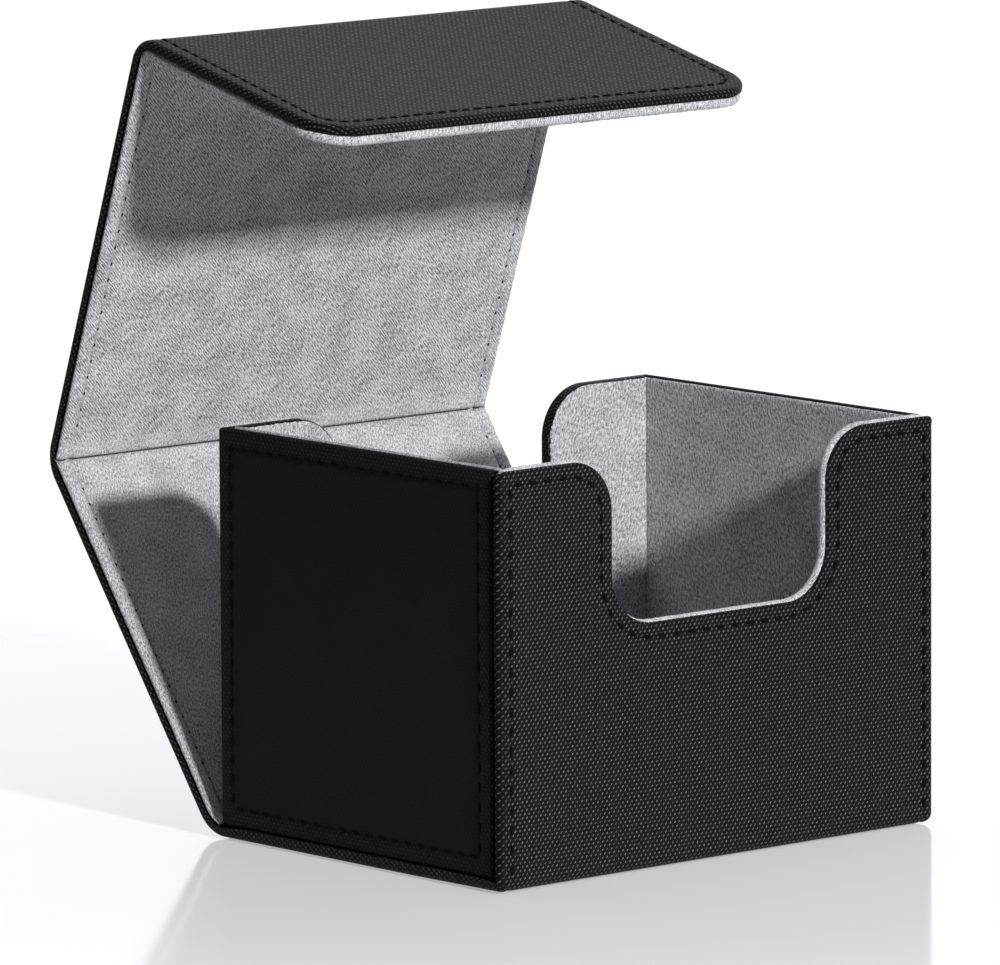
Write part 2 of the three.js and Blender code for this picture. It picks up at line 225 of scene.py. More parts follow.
def lining_material(name, turn, stretch, light, dark, fineness=2.9, hatch=0.0, relief=0.0008):
    """Microfibre with a short nap: grain drawn out along one direction, and soft patches."""
    g = Graph(name)
    uv = g.uv()
    c, s = math.cos(turn), math.sin(turn)
    along = g.vector("DOT_PRODUCT", uv, (c / stretch, s / stretch, 0))
    over = g.vector("DOT_PRODUCT", uv, (-s, c, 0))
    join = g.nodes.new("ShaderNodeCombineXYZ")
    g.links.new(along, join.inputs[0])
    g.links.new(over, join.inputs[1])
    nap = g.grain(join.outputs[0], fineness, 2.0, 0.6)
    fine = g.grain(uv, 4.8, 1.0, 0.5)
    patch = g.grain(uv, 0.11, 3.0, 0.55)
    both = g.maths("ADD", g.maths("MULTIPLY", nap, 0.6), g.maths("MULTIPLY", fine, 0.4))
    if hatch:
        slope = g.vector("DOT_PRODUCT", uv, (7.2, 7.2, 0))
        ribs = g.maths("SINE", g.maths("ADD", slope, g.maths("MULTIPLY", patch, 9.0)))
        both = g.maths("ADD", both, g.maths("MULTIPLY", ribs, hatch))
    patches = g.spread(patch, 0.3, 0.7, -0.15, 0.15)
    tone = g.maths("ADD", g.spread(both, 0.41, 0.58), patches, clamp=True)
    colour = g.mix(tone, dark, light)
    g.bump(both, 0.8, relief)
    return g.finish(colour, 0.95, Specular_IOR_Level=0.15, Sheen_Weight=0.25, Sheen_Roughness=0.5)


def thread_material(name, colour, roughness):
    g = Graph(name)
    uv = g.uv()
    twist = g.vector("DOT_PRODUCT", uv, (14.0, 9.0, 0))
    ridge_and_groove_shade = g.maths("SINE", twist)
    # The twist's grooves are painted darker, down to 0.55 of the thread's colour: painted shade between
    # the plies; the same ridge drives the bump.
    tone = g.mix(g.spread(ridge_and_groove_shade, -1, 1), tuple(0.55 * c for c in colour), colour)
    g.bump(ridge_and_groove_shade, 0.5, 0.0001)
    return g.finish(tone, roughness, Specular_IOR_Level=0.07)


def board_material():
    g = Graph("black_board")
    where = g.nodes.new("ShaderNodeTexCoord").outputs["Object"]
    fibre = g.grain(where, 900, 4.0, 0.7)
    colour = g.mix(g.spread(fibre, 0.3, 0.7), (0.018, 0.017, 0.016), (0.035, 0.033, 0.031))
    g.bump(fibre, 0.4, 0.0002)
    return g.finish(colour, 0.9)


def steel_material():
    g = Graph("plated_steel")
    where = g.nodes.new("ShaderNodeTexCoord").outputs["Object"]
    scratch = g.grain(g.vector("MULTIPLY", where, (1, 30, 1)), 250, 2.0)
    g.bump(scratch, 0.1, 0.0001)
    return g.finish((0.55, 0.55, 0.57, 1), g.spread(scratch, 0.3, 0.7, 0.25, 0.4), Metallic=1.0)


# The crest colours below are painted highlights on the leathers' dashes.
LEATHER_MAT = leather_material("leather_dot_weave_painted_highlight", crest_and_highlight=(0.22, 0.221, 0.226),
                               ground=(0.0026, 0.0027, 0.0031), roughness=0.5, specular=0.10)
# The same dotted leather with a far darker crest colour, so a much dimmer painted highlight on its dashes:
# a shaded copy for the side panels, which face away from the key light.
SHADED_SIDE_LEATHER_MAT = leather_material("leather_side_shaded_copy", crest_and_highlight=(0.035, 0.035, 0.036),
                            ground=(0.0045, 0.0046, 0.005), roughness=0.6, specular=0.10)
LINING_MAT = lining_material("lining_nap", turn=math.radians(80), stretch=2.5,
                             light=(0.88, 0.885, 0.91), dark=(0.20, 0.205, 0.22))
HATCH_MAT = lining_material("lining_hatch", turn=math.radians(-48), stretch=4.0,
                            light=(0.84, 0.845, 0.87), dark=(0.145, 0.15, 0.165), hatch=0.045)
INNER_MAT = lining_material("lining_inside", turn=math.radians(70), stretch=2.0,
                            light=(0.97, 0.975, 1.0), dark=(0.20, 0.205, 0.22),
                            fineness=1.9, relief=0.0016)
BLACK_THREAD = thread_material("thread_black", (0.0025, 0.0025, 0.003), 0.7)
GREY_THREAD = thread_material("thread_grey", (0.52, 0.54, 0.61), 0.7)
# Dark marks in place of needle holes: painted shade in the holes.
HOLE_SHADE_MAT = thread_material("needle_hole_painted_shade", (0.03, 0.03, 0.035), 0.9)
BOARD_MAT = board_material()
STEEL_MAT = steel_material()

for node_name, node in NODES.items():
    material = STEEL_MAT if "magnet" in node_name else BOARD_MAT
    node.data.materials.clear()
    node.data.materials.append(material)


# ---------------------------------------------------------------- mesh building
CAP_CORNERS = 8       # a face with more corners than this is a cap, and stays flat


def make_object(name, points, faces, uvs, emboss, material):
    """points and uvs in mm, one uv and one emboss value for each point; emboss may be None."""
    mesh = bpy.data.meshes.new(name)
    mesh.from_pydata([tuple(p * MM) for p in points], [], faces)
    mesh.materials.append(material)
    layer = mesh.uv_layers.new(name="UVMap")
    loops = np.zeros(len(mesh.loops), np.int32)
    mesh.loops.foreach_get("vertex_index", loops)
    layer.data.foreach_set("uv", np.asarray(uvs, np.float32)[loops].ravel())
    if emboss is not None:
        field = mesh.attributes.new("emboss", "FLOAT", "POINT")
        field.data.foreach_set("value", np.asarray(emboss, np.float32))
    mesh.polygons.foreach_set("use_smooth", [True] * len(mesh.polygons))
    work = bmesh.new()
    work.from_mesh(mesh)
    bmesh.ops.remove_doubles(work, verts=work.verts, dist=1e-6)
    for face in work.faces:
        if len(face.verts) > CAP_CORNERS:
            face.smooth = False
            for edge in face.edges:
                edge.smooth = False
    work.to_mesh(mesh)
    work.free()
    obj = bpy.data.objects.new(name, mesh)
    bpy.context.scene.collection.objects.link(obj)
    return obj


def settle(obj, slot, body=None, blend=None, replaces=()):
    """Parents a piece to its body's empty, or bakes a fold piece's place into its mesh when blend is
    given, and hides the CAD nodes it replaces. slot is not used.
    """
    if blend:
        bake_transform(obj)
    else:
        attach(obj, body)
    if replaces:
        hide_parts(*replaces)
    return obj


def grid_faces(count, size, closed):
    """Faces between count rings of size points each, and a cap on the first and last ring."""
    at = lambda k, i: k * size + i % size
    faces = []
    for k in range(count - 1):
        for i in range(size if closed else size - 1):
            faces.append((at(k, i), at(k, i + 1), at(k + 1, i + 1), at(k + 1, i)))
    faces.append(tuple(at(0, i) for i in range(size - 1, -1, -1)))
    faces.append(tuple(at(count - 1, i) for i in range(size)))
    return faces


def open_ends(count, size):
    """The points at the ends of count open rings: all the first ones, then the last ones back."""
    return [k * size for k in range(count)] + [k * size + size - 1 for k in range(count - 1, -1, -1)]


def skin(name, rings, uvs, emboss, material, closed, flip=False):
    """A closed body through rings of points: rings is (K, N, 3). The first and last rings get
    caps; where the rings are open lines, one more cap joins all their ends. emboss is one value
    for each ring or for each point."""
    rings, uvs = np.asarray(rings, float), np.asarray(uvs, float)
    count, size = rings.shape[:2]
    faces = grid_faces(count, size, closed)
    if not closed:
        faces.append(tuple(open_ends(count, size)))
    if flip:
        faces = [f[::-1] for f in faces]
    weights = np.asarray(emboss, float)
    if weights.ndim == 1:
        weights = weights[:, None]
    weights = np.broadcast_to(weights, (count, size)).ravel()
    return make_object(name, rings.reshape(-1, 3), faces, uvs.reshape(-1, 2), weights, material)


def rounded(corners, closed, inset=0.0):
    """Points and outward normals along a polygon with round corners, moved inwards by inset.
    corners are (x, y, radius), clockwise. Every inset gives the same number of points."""
    spots = np.array([c[:2] for c in corners], float)
    radii = [c[2] for c in corners]
    count = len(corners)
    edges = np.roll(spots, -1, 0) - spots
    lengths = np.linalg.norm(edges, axis=1)
    ways = edges / lengths[:, None]
    sides = np.stack([-ways[:, 1], ways[:, 0]], 1)
    bends = []
    for i, radius in enumerate(radii):
        if not closed and i in (0, count - 1):
            side = sides[0] if i == 0 else sides[-2]
            bends.append(([spots[i] - side * inset], [side]))
            continue
        before, after = sides[i - 1], sides[i]
        diagonal = (before + after) / (1 + before @ after)
        way_in, way_out = ways[i - 1], ways[i]
        turn = math.atan2(way_in[0] * way_out[1] - way_in[1] * way_out[0], way_in @ way_out)
        sign = 1 if turn < 0 else -1
        now = max(radius - sign * inset, 0.0)
        middle = spots[i] - diagonal * (inset + sign * now)
        start = math.atan2(before[1], before[0])
        steps = max(4, int(math.ceil((radius + 2) * abs(turn) / STEP)))
        angles = [start + turn * t / steps for t in range(steps + 1)]
        normals = [np.array([math.cos(a), math.sin(a)]) for a in angles]
        bends.append(([middle + n * sign * now for n in normals], normals))
    points, normals = [], []
    for i in range(count):
        points += bends[i][0]
        normals += bends[i][1]
        if i == count - 1 and not closed:
            break
        first, last = bends[i][0][-1], bends[(i + 1) % count][0][0]
        steps = max(1, int(math.ceil(lengths[i] / STEP)))
        points += [first + (last - first) * t / steps for t in range(1, steps)]
        normals += [sides[i]] * (steps - 1)
    return np.array(points), np.array(normals)


def cut_corners(half_width, bottom, top, inset, corner, closed=False):
    """Corners of a wall with the U cut-out, clockwise seen from the front, from the bottom left."""
    half, low = CUT_HALF + inset, CUT_BOTTOM - inset
    left = [(-half_width, bottom, corner if closed else 0), (-half_width, top, corner),
            (-half, top, CUT_SHOULDER - inset), (-half, low, CUT_FOOT + inset)]
    return left + [(-x, y, r) for x, y, r in left[::-1]]


def rectangle(a0, a1, b0, b1, corner):
    """Corners of a rectangle, clockwise, all with the same radius."""
    return [(a0, b0, corner), (a0, b1, corner), (a1, b1, corner), (a1, b0, corner)]


def rounding(radius, steps=5):
    """(inset, depth) round a quarter turn, from the face to the edge."""
    return [(radius * (1 - math.sin(a)), radius * (1 - math.cos(a)))
            for a in np.linspace(0, math.pi / 2, steps)]


def leather_profile(seam, radius, edge):
    """(inset from the edge, depth below the face) from the middle of the face, over the seam's
    valley and the rim, round the edge and back under it."""
    face = [(seam + 4.5, 0.0), (seam + 1.5, 0.0), (seam + 0.6, 0.07), (seam, SEAM_DEPTH),
            (seam - 0.55, 0.09), (seam - 1.2, -0.02)]
    end = max(edge, radius + 0.08)
    back = [(0.0, max(end - 0.25, radius + 0.03)), (0.2, end), (0.75, end), (0.8, min(LEATHER, end))]
    return np.array(face + rounding(radius) + back)


# how strongly the dashes show at each point of a leather profile, in their relief and in their painted
# highlight
LEATHER_EMBOSS = [1, 1, 1.25, 0.7, 1.25, 1.1, 0.7, 0.5, 0.5, 0.5, 0.5, 0.5, 0.3, 0, 0]


def pad_profile(seam, face, foot, inset):
    """(inset, height) from the middle of a padded lining's face, over its seam and round edge."""
    mid = (face + foot) / 2
    return np.array([
        (seam + 5, face), (seam + 1.6, face), (seam + 0.6, face - 0.2), (seam, face - PAD_SEAM_DEPTH),
        (seam - 0.5, face - 0.25), (seam - 1.1, face + 0.02), (inset + 1.5, face - 0.02),
        (inset + 0.75, face - 0.22), (inset + 0.25, face - 0.62), (inset, mid),
        (inset + 0.12, mid - 0.45), (inset + 0.5, foot + 0.05), (inset + 1.4, foot)])


FUZZ_SCALE = 1.1      # noise cells for each mm
CALM_FROM, CALM = 3, 0.4      # a profile's points from this one to the rim get this share of it
NOISE_SEED = 7        # any number but 0, which would take the seed from the clock
noise.seed_set(NOISE_SEED)


def fuzz(points, amount):
    """Small uneven shifts, the same in every run."""
    out = np.array(points, float)
    flat = out.reshape(-1, 3)
    for i, p in enumerate(flat):
        flat[i] = p + np.array(noise.noise_vector(Vector(p * FUZZ_SCALE))) * amount
    return flat.reshape(out.shape)


def run_along(profile):
    """Distance along a profile, from its first point to each of its points."""
    steps = np.hypot(*np.diff(profile, axis=0).T)
    return np.concatenate([[0], np.cumsum(steps)])


def plate_rings(corners, closed, profile, place, side_profile=None, side_weight=None):
    """Rings of points with their uvs: the profile's (inset, depth) pairs round an outline. Where
    side_weight is 1, side_profile holds. place(a, b, depth) gives points in space."""
    edge, normals = rounded(corners, closed)
    weight = np.zeros(len(edge)) if side_weight is None else side_weight(edge)
    other = profile if side_profile is None else side_profile
    rings, uvs = [], []
    for (inset, depth), (side_inset, side_depth), gone in zip(profile, other, run_along(profile)):
        flat = rounded(corners, closed, inset)[0]
        if side_profile is not None:
            at_side = rounded(corners, closed, side_inset)[0]
            flat = flat * (1 - weight)[:, None] + at_side * weight[:, None]
        rings.append(place(flat[:, 0], flat[:, 1], depth * (1 - weight) + side_depth * weight))
        beyond = gone - (profile[0][0] - inset)
        uvs.append(flat + normals * beyond)
    return np.array(rings), np.array(uvs)


def plate(name, corners, closed, profile, place, material, emboss=None, side_profile=None,
          side_weight=None, fuzzy=None, flip=False):
    """A sheet over an outline, with the profile round its rim. fuzzy is (amount, first, stop):
    the profile's points from first up to stop are the rim, which gets all of it."""
    emboss = LEATHER_EMBOSS if emboss is None else emboss
    rings, uvs = plate_rings(corners, closed, profile, place, side_profile, side_weight)
    if fuzzy:
        amount, first, stop = fuzzy
        rings[first:stop] = fuzz(rings[first:stop], amount)
        rings[CALM_FROM:first] = fuzz(rings[CALM_FROM:first], amount * CALM)
    return skin(name, rings, uvs, emboss, material, closed, flip)


def section(profile, half, y, z, angle, v):
    """The outline of a strip across the box at (y, z), with its uvs: the rim's profile on both
    sides. angle is the direction of travel."""
    x = half - profile[:, 0]
    u = half - profile[0, 0] + run_along(profile)
    xs = np.concatenate([-x, x[::-1]])
    ns = np.concatenate([profile[:, 1], profile[::-1, 1]])
    ring = np.stack([xs, y - ns * math.sin(angle), z + ns * math.cos(angle)], 1)
    return ring, np.stack([np.concatenate([-u, u[::-1]]), np.full(len(xs), v)], 1)


def loft(name, stations, profile_at, half, material, emboss, fuzzy=None, flip=False):
    """A strip across the box along stations (y, z, angle, v). profile_at(j) gives the rim's
    (inset, n) at station j, with n to the left of the direction of travel."""
    rings, uvs = [], []
    for j, (y, z, angle, v) in enumerate(stations):
        ring, uv = section(profile_at(j), half, y, z, angle, v)
        rings.append(ring)
        uvs.append(uv)
    rings, uvs = np.array(rings), np.array(uvs)
    if fuzzy:
        amount, first, stop = fuzzy
        size = rings.shape[1]
        for a, b in ((first, stop), (size - stop, size - first)):
            rings[:, a:b] = fuzz(rings[:, a:b], amount)
        for a, b in ((CALM_FROM, first), (size - first, size - CALM_FROM)):
            rings[:, a:b] = fuzz(rings[:, a:b], amount * CALM)
    weights = np.concatenate([emboss, emboss[::-1]])
    weights = np.broadcast_to(weights, rings.shape[:2])
    return skin(name, rings, uvs, weights, material, True, flip)


# ---------------------------------------------------------------- stitches
def stitch_row(path, up, pitch, length, radius, sink, slant):
    """Threads along a line of points. up is the surface's outward normal at each point. Also
    gives the place, normal, direction and side of each gap between two threads."""
    path, up = np.asarray(path, float), np.asarray(up, float)
    gone = np.concatenate([[0], np.cumsum(np.linalg.norm(np.diff(path, axis=0), axis=1))])
    number = max(1, int(round(gone[-1] / pitch)))
    pitch = gone[-1] / number
    sides, bands = 8, np.linspace(-1, 1, 7)
    spot = lambda d: np.array([np.interp(d, gone, path[:, c]) for c in range(3)])
    points, faces, uvs, holes = [], [], [], []
    for j in range(number):
        middle = (j + 0.5) * pitch
        centre = spot(middle)
        along = spot(min(middle + length / 2, gone[-1])) - spot(max(middle - length / 2, 0))
        along /= np.linalg.norm(along)
        normal = np.array([np.interp(middle, gone, up[:, c]) for c in range(3)])
        normal -= along * (normal @ along)
        normal /= np.linalg.norm(normal)
        across = np.cross(along, normal)
        first = len(points)
        for t in bands:
            body = radius * math.sqrt(max(0.02, 1 - t ** 4))
            mid = centre + along * t * length / 2 + normal * (radius * 0.9 * (1 - t * t) - sink)
            mid = mid + across * slant * t
            for q in range(sides):
                a = 2 * math.pi * q / sides
                points.append(mid + body * (across * math.cos(a) * 1.1 + normal * math.sin(a) * 0.8))
                uvs.append((t * length / 2, a * radius))
        for b in range(len(bands) - 1):
            for q in range(sides):
                r, n = first + b * sides, (q + 1) % sides
                faces.append((r + q, r + sides + q, r + sides + n, r + n))
        faces.append(tuple(first + q for q in range(sides)))
        top = first + (len(bands) - 1) * sides
        faces.append(tuple(top + q for q in range(sides - 1, -1, -1)))
        holes.append((spot(j * pitch), normal, along, across))
    return points, faces, uvs, holes


def join_rows(rows):
    """The threads of several rows as one mesh's points, faces and uvs."""
    points, faces, uvs = [], [], []
    for p, f, u, _ in rows:
        first = len(points)
        points += p
        uvs += u
        faces += [tuple(first + i for i in face) for face in f]
    return points, faces, uvs


HOLE_SIDES, HOLE_RADIUS, HOLE_RISE = 8, 0.34, 0.2


def hole_shade_marks(rows):
    """Small dark lozenges that paint the shade in the needle holes, one between each two stitches,
    a little above the bottom of the seam's valley."""
    points, faces, uvs = [], [], []
    sides = HOLE_SIDES
    for row in rows:
        for centre, normal, along, across in row[3][1:]:
            first = len(points)
            for h, r in ((0.06, 0.35), (0.06, 1.0), (-0.3, 0.5)):
                for q in range(sides):
                    a = 2 * math.pi * q / sides
                    away = along * math.cos(a) * 1.3 + across * math.sin(a)
                    points.append(centre + HOLE_RADIUS * r * away + normal * (h + HOLE_RISE))
                    uvs.append((q, h))
            for b in range(2):
                low, high = first + b * sides, first + (b + 1) * sides
                for q in range(sides):
                    n = (q + 1) % sides
                    faces.append((low + q, low + n, high + n, high + q))
            faces.append(tuple(first + q for q in range(sides - 1, -1, -1)))
            faces.append(tuple(first + 2 * sides + q for q in range(sides)))
    return points, faces, uvs


def sew(name, lines, slot, body=None, blend=None, pitch=4.7, length=3.2, radius=0.5, sink=0.30,
        slant=0.12, material=BLACK_THREAD, holes=False):
    """The threads of a seam as one piece, and the dark marks painted as its needle holes' shade as
    another. lines are (path, up).
    """
    rows = [stitch_row(path, up, pitch, length, radius, sink, slant) for path, up in lines]
    points, faces, uvs = join_rows(rows)
    threads = make_object(name, np.array(points), faces, uvs, None, material)
    settle(threads, slot, body, blend)
    if holes:
        points, faces, uvs = hole_shade_marks(rows)
        marks = make_object(name + "_hole_shade", np.array(points), faces, uvs, None, HOLE_SHADE_MAT)
        settle(marks, slot, body, blend)


def offset_line(corners, closed, inset):
    """A seam's line: an outline moved inwards, without points that fall on each other."""
    line = rounded(corners, closed, inset)[0]
    if closed:
        line = np.vstack([line, line[:1]])
    apart = np.concatenate([[1], np.linalg.norm(np.diff(line, axis=0), axis=1)])
    return line[apart > 1e-6]


# ---------------------------------------------------------------- the tray
def front_place(x, z, depth):
    return np.stack([x, FRONT + depth, z], 1)


def back_place(x, z, depth):
    return np.stack([-x, BACK - depth, z], 1)


def on_face(line, place, depth, up):
    """A seam line on a face, as sew takes it: its points and the outward normal at each."""
    return place(line[:, 0], line[:, 1], np.full(len(line), depth)), np.tile(up, (len(line), 1))


def side_weight(line):
    """1 on the wall's upright outer edges, 0 on its top and cut-out."""
    near = np.clip((np.abs(line[:, 0]) - (HALF - 2.0)) / 1.8, 0, 1)
    low = np.clip((LEATHER_TOP - line[:, 1]) / 2.0, 0, 1)
    return near * low


WALL_EDGE = leather_profile(WALL_SEAM, 0.55, 0.7)
WALL_SIDE = leather_profile(WALL_SEAM, 2.0, 2.05)
COVER_RIM = leather_profile(COVER_SEAM, 1.15, 2.25)


def tray_wrap():
    """The front wall's leather, turning under the tray and running back to the rear fold."""
    corners = cut_corners(HALF, WRAP_CORNER, LEATHER_TOP, LINING_STEP, 2.2)
    rings, uvs = plate_rings(corners, False, WALL_EDGE, front_place, WALL_SIDE, side_weight)
    count, size = rings.shape[:2]
    points, uv = rings.reshape(-1, 3), uvs.reshape(-1, 2)
    emboss = np.repeat(LEATHER_EMBOSS, size)
    under_emboss = 0.6 * np.array(LEATHER_EMBOSS + LEATHER_EMBOSS[::-1])
    faces = grid_faces(count, size, False)
    # sections under the tray: round the corner, then flat to the rear fold
    stations = [(WRAP_CORNER * (1 - math.cos(a)), WRAP_CORNER * (1 - math.sin(a)), math.pi / 2 - a)
                for a in np.linspace(0, math.pi / 2, 9)[1:]]
    stations = [(FRONT + y, z, -a) for y, z, a in stations]
    rear = REAR[0] - REAR_MARGIN
    for y in np.linspace(FRONT + WRAP_CORNER, rear, 14)[1:]:
        stations.append((y, 0.0, 0.0))
    loop = open_ends(count, size)
    v = WRAP_CORNER
    previous = np.array([FRONT, WRAP_CORNER])
    for y, z, angle in stations:
        v -= np.linalg.norm(np.array([y, z]) - previous)
        previous = np.array([y, z])
        share = np.clip((y - FRONT - 4) / 25, 0, 1)
        profile = WALL_SIDE * (1 - share) + COVER_RIM * share
        lift = np.clip((rear - y) / 8, 0, 1) * np.clip((y - FRONT) / 4, 0, 1)
        profile = profile + np.outer(lift * (profile[:, 1] > 1.5), (0, SIDE_LOW[2] - SHELL))
        ring, ring_uv = section(profile, HALF, y, z, angle, v)
        first = len(points)
        points = np.vstack([points, ring])
        uv = np.vstack([uv, ring_uv])
        emboss = np.concatenate([emboss, under_emboss])
        new = list(range(first, first + len(ring)))
        for i in range(len(loop)):
            n = (i + 1) % len(loop)
            faces.append((loop[i], loop[n], new[n], new[i]))
        loop = new
    faces.append(tuple(loop))
    faces = [f[::-1] for f in faces]
    obj = make_object("tray_wrap", points, faces, uv, emboss, LEATHER_MAT)
    settle(obj, "leather", "tray", replaces=["tray_wrap_leather"])


tray_wrap()
front_seam = offset_line(cut_corners(HALF, 3.0, LEATHER_TOP, LINING_STEP, 0.3), False, WALL_SEAM)
sew("front_wall_stitches", [on_face(front_seam, front_place, SEAM_DEPTH, (0.0, -1.0, 0.0))],
    "leather", "tray")

# Lining of the front wall: its face inside, then over the top and cut-out to the front.
LIP = np.array([
    (9, 3.6), (5, 3.6), (3.5, 3.6), (2.4, 3.6), (1.5, 3.56), (0.85, 3.45), (0.35, 3.15), (0.08, 2.7),
    (0, 2.2), (0.06, 1.6), (0.3, 1.15), (0.7, 0.95), (0.95, 1.05), (1.0, 2.42)])
LIP_SIDE = LIP + (2.2, 0)
LIP_HALF = SIDE_FACE - 1.2


def lip_weight(line):
    """1 on the lining's upright outer edges, which stay behind the front wall's side edges."""
    near = np.clip((np.abs(line[:, 0]) - LIP_HALF + 0.5) / 0.5, 0, 1)
    return near * np.clip((LINING_TOP - 1 - line[:, 1]) / 2, 0, 1)


def lip_place(x, z, depth):
    """Like the front wall, but the lip comes down to the leather at the wall's two ends."""
    end = np.clip((np.abs(x) - LIP_HALF + 5) / 5, 0, 1) ** 2
    return front_place(x, z - 0.6 * end * (z > LEATHER_TOP - 2), depth)


lip_outline = cut_corners(LIP_HALF, LINING_FOOT, LINING_TOP, 0.0, 1.0)
front_lining = plate("front_wall_lining", lip_outline, False, LIP, lip_place, LINING_MAT, 0.0,
                     LIP_SIDE, lip_weight, fuzzy=(0.09, 4, 12))
settle(front_lining, "lining", "tray", replaces=["front_lining"])

# Back wall: leather outside and over its whole edge, lining set in on the inside.
BACK_HALF = SIDE_FACE - SHELL - GLUE
BACK_RIM = leather_profile(BACK_SEAM, 0.8, WALL)
back_outline = cut_corners(BACK_HALF, SHELL + GLUE, LEATHER_TOP, 0.0, 0.4, True)
back_wall = plate("back_wall", back_outline, True, BACK_RIM, back_place, LEATHER_MAT, flip=True)
settle(back_wall, "leather", "tray", replaces=["back_wall_leather"])
back_seam = offset_line(cut_corners(BACK_HALF, 3.0, LEATHER_TOP, 0.0, 0.3), False, BACK_SEAM)
sew("back_wall_stitches", [on_face(back_seam, back_place, SEAM_DEPTH, (0.0, 1.0, 0.0))],
    "leather", "tray")

# (inset, depth) of a lining sheet stuck on a board: soft edges, face towards the card space
SOFT = np.array([
    (8, 0), (4, 0), (2.2, 0.0), (1.1, 0.01), (0.5, 0.06), (0.15, 0.2), (0.0, LINING * 0.5),
    (0.1, LINING * 0.85), (0.5, LINING)])


def back_lining_place(x, z, depth):
    return np.stack([x, BACK - WALL - 0.15 + depth, z], 1)


def floor_place(x, y, depth):
    return np.stack([x, y, FLOOR_FACE - depth], 1)


def lining_sheet(name, outline, place, material, amount, flip, node):
    """A lining sheet stuck inside the tray, in place of a CAD node."""
    sheet = plate(name, outline, True, SOFT, place, material, 0.0, fuzzy=(amount, 3, 8), flip=flip)
    settle(sheet, "lining", "tray", replaces=[node])


back_lining_outline = cut_corners(SIDE_FACE - SHELL - 0.4, LINING_FOOT, LEATHER_TOP - 0.05, 0.0, 0.4, True)
lining_sheet("back_wall_lining_sheet", back_lining_outline, back_lining_place, INNER_MAT, 0.07, True,
             "back_wall_lining")

SIDE_RIM = leather_profile(SIDE_SEAM, 1.0, SHELL)
# how strongly the dashes show round a side panel's profile, in relief and painted highlight: faint inside
# the seam, full on the border outside it
SIDE_EMBOSS = [0.12, 0.15, 0.3, 0.3, 1, 1, 0.9, 0.8, 0.8, 0.8, 0.8, 0.6, 0.3, 0, 0]
SIDE_INNER = SIDE_FACE - SHELL - GLUE - LINING
GROOVE_Y = FRONT + SHELL + GROOVE
GROOVE_DEPTH = 1.5
GROOVE_RIM = np.array([(0.7, 0.0), (0.4, 0.0), (0.2, 0.05), (0.0, 0.2), (0.0, 0.6), (0.3, 0.68)])


def tray_side(side, name, rise):
    """A side panel, a black leather strip at the bottom of its groove that paints the groove's shade, its
    seam and its lining.
    side is -1 on the left; rise is how far the lining's top stands above the leather's."""
    def panel_place(y, z, depth):
        return np.stack([side * (SIDE_FACE - depth), y, z], 1)

    def groove_place(y, z, depth):
        return np.stack([side * (SIDE_FACE - GROOVE_DEPTH - depth), y, z], 1)

    def lining_place(y, z, depth):
        return np.stack([side * (SIDE_INNER + depth), y, z], 1)

    outline = rectangle(GROOVE_Y, BACK, SIDE_LOW[2], LEATHER_TOP, 0.9)
    panel = plate(f"{name}_side_panel", outline, True, SIDE_RIM, panel_place, SHADED_SIDE_LEATHER_MAT, SIDE_EMBOSS,
                  flip=side > 0)
    settle(panel, "leather", "tray", replaces=[f"{name}_side_leather"])
    # A black leather strip at the groove's bottom: a dark sheet that paints the groove's shade.
    outline = rectangle(FRONT + SHELL - 0.1, GROOVE_Y - 0.02, SIDE_LOW[2] - 0.1, LEATHER_TOP - 0.2, 0.2)
    strip = plate(f"{name}_groove_shade_strip", outline, True, GROOVE_RIM, groove_place, SHADED_SIDE_LEATHER_MAT, 0.5,
                  flip=side > 0)
    settle(strip, "leather", "tray")
    seam = offset_line(rectangle(GROOVE_Y, BACK, SIDE_LOW[2], LEATHER_TOP, 0.3), True, SIDE_SEAM)
    sew(f"{name}_side_stitches", [on_face(seam, panel_place, SEAM_DEPTH, (float(side), 0.0, 0.0))],
        "leather", "tray", pitch=4.8)
    outline = rectangle(FRONT + WALL - 0.3, BACK - WALL + 0.3, LINING_FOOT, LEATHER_TOP + rise, 0.4)
    lining_sheet(f"{name}_side_lining_sheet", outline, lining_place, INNER_MAT, 0.07, side < 0,
                 f"{name}_side_lining")


tray_side(-1, "left", 0.35)
tray_side(1, "right", -0.35)

floor_half = SIDE_FACE - WALL - GLUE
floor_outline = rectangle(-floor_half, floor_half, FRONT + WALL + GLUE, BACK - WALL - GLUE, 0.4)
lining_sheet("floor_lining_sheet", floor_outline, floor_place, LINING_MAT, 0.05, True, "floor_lining")


# ---------------------------------------------------------------- the cover
def level(origin, angle, start, end, v):
    """Stations along a flat panel, from start to end along it."""
    count = max(2, int(math.ceil((end - start) / STEP)) + 1)
    return [(origin[0] + s * math.cos(angle), origin[1] + s * math.sin(angle), angle, v + s - start)
            for s in np.linspace(start, end, count)]


def bent(origin, angle, line, margin, turn, reach, v, from_turn=0.0):
    """Stations round a fold: level from reach before the line, an arc, level to reach after."""
    radius = margin / math.tan(turn / 2)
    out = []
    if from_turn == 0.0 and reach > margin:
        out += level(origin, angle, line - reach, line - margin, v)[:-1]
        v += reach - margin
    cy = origin[0] + (line - margin) * math.cos(angle) - radius * math.sin(angle)
    cz = origin[1] + (line - margin) * math.sin(angle) + radius * math.cos(angle)
    for share in np.linspace(from_turn / turn, 1, 15):
        a = angle + share * turn
        out.append((cy + radius * math.sin(a), cz - radius * math.cos(a), a,
                    v + (radius + PANEL_OUT) * turn * (share - from_turn / turn)))
    end_v = out[-1][3]
    if reach > margin:
        corner = (origin[0] + line * math.cos(angle), origin[1] + line * math.sin(angle))
        out += level(corner, angle + turn, margin, reach, end_v)[1:]
    return out


